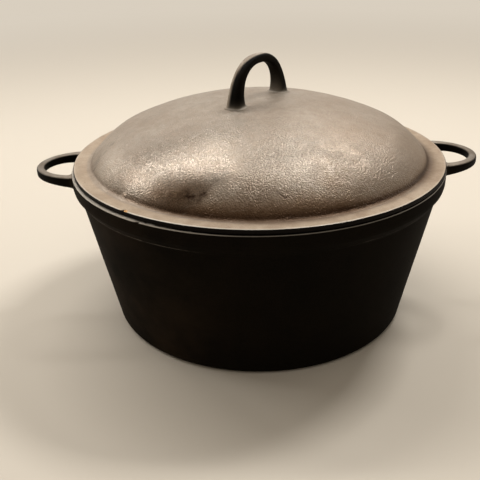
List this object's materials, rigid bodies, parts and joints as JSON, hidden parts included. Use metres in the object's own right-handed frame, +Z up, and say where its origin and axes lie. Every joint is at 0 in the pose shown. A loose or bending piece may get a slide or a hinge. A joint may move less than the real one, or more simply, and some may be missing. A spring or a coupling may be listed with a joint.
{
  "type": "cast iron dutch oven",
  "caption": "Round cast iron cooking pot with tapered sides, horizontal loop side handles and a domed, flanged lid with an upright loop handle.",
  "frame": {"origin": "centre of the base ring, on the plane that the pot stands on", "axes": "+Z up along the pot's axis; X along the line of the two side handles"},
  "size_m": [0.324, 0.27, 0.1908],
  "materials": {
    "pot_iron": "black seasoned cast iron, as cast, with a low sheen",
    "lid_iron": "brown-grey seasoned cast iron, fine sand-cast grain, satin, worn lighter on the edges"
  },
  "bodies": {
    "pot": {"pot": "pot_iron", "side_handle_right": "pot_iron", "side_handle_left": "pot_iron"},
    "lid": {"lid": "lid_iron", "lid_handle": "lid_iron"}
  },
  "joints": [
    {"name": "lid_lift", "type": "slide", "parent": "pot", "child": "lid", "axis": [0, 0, 1], "range_m": [0, 0.15]}
  ]
}
